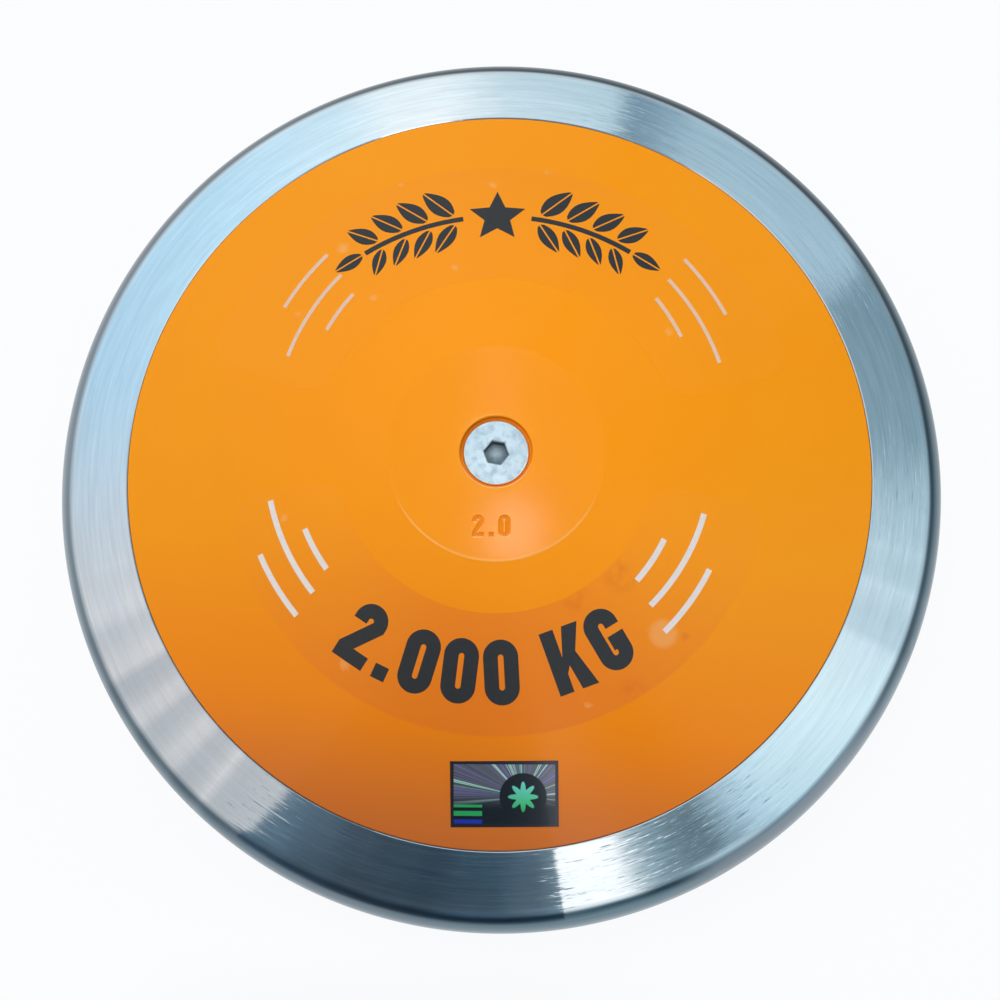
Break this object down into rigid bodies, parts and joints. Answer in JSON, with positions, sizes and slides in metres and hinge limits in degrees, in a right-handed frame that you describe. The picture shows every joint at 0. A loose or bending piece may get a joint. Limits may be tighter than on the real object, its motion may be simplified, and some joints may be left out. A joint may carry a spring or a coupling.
{
  "type": "discus",
  "caption": "Throwing discus: a steel rim with a rounded edge holds tapered plastic plates, screwed together through a flat centre.",
  "frame": {"origin": "centre of the discus, half way between its two flat faces, on the spin axis", "axes": "+Z along the spin axis, out of the front face; +Y towards the top of the front face; +X to its right"},
  "size_m": [0.22, 0.22, 0.045],
  "materials": {
    "rim_steel": "circumferentially ground and bright zinc plated",
    "plate_plastic": "moulded, satin",
    "screw_zinc": "bright zinc plated",
    "core_steel": "plain turned steel",
    "damping_rubber": "matte",
    "decal_film": "clear glossy film over the orange plate",
    "dark_ink": "screen printed, smooth",
    "pale_ink": "screen printed, smooth",
    "foil": "embossed diffraction foil"
  },
  "bodies": {
    "root": {"rim": "rim_steel", "front_plate": "plate_plastic", "back_plate": "plate_plastic", "front_screw": "screw_zinc", "back_screw": "screw_zinc", "core_sleeve": "core_steel", "weight_disc_1": "core_steel", "weight_disc_2": "core_steel", "weight_disc_3": "core_steel", "trim_disc": "core_steel", "front_damping_washer": "damping_rubber", "back_damping_washer": "damping_rubber"}
  },
  "joints": []
}
